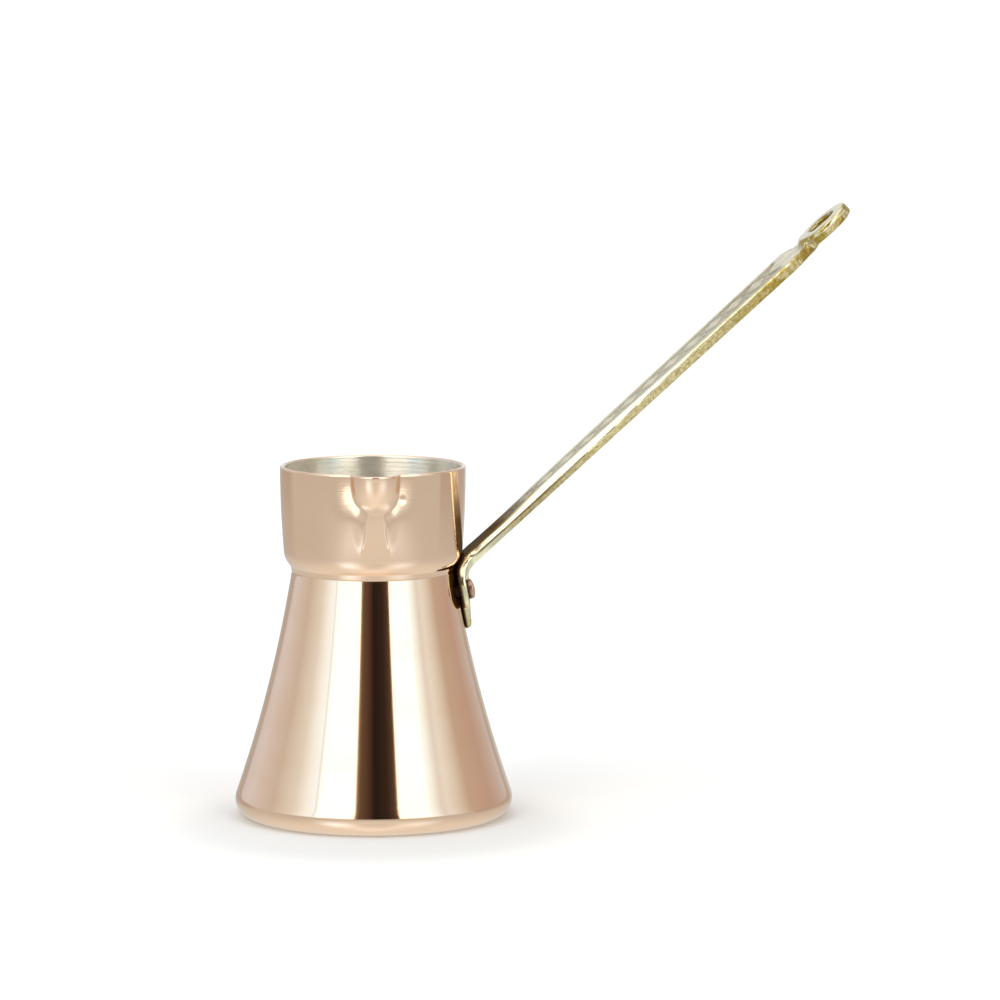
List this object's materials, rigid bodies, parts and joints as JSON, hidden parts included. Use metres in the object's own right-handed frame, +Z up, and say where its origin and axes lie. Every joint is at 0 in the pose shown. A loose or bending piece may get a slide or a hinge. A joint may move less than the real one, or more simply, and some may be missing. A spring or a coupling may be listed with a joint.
{
  "type": "coffee pot",
  "caption": "Long-handled tinned copper coffee pot with a flared body, straight collar, pinched pouring lip and a rising cast brass handle with a hanging ring.",
  "frame": {"origin": "centre of the pot's flat underside", "axes": "+Z up the pot's axis of revolution, +X towards the handle; the pouring lip is on the -Y side"},
  "size_m": [0.1906, 0.0854, 0.1884],
  "materials": {
    "copper": "polished, with faint horizontal spinning lines",
    "tin": "satin tin wiped on by hand",
    "brass": "sand cast, top and edges polished",
    "rivet_copper": "hammered, slightly darkened"
  },
  "bodies": {
    "root": {"pot_body": "copper", "tin_lining": "tin", "handle": "brass", "front_rivet": "rivet_copper", "back_rivet": "rivet_copper"}
  },
  "joints": []
}
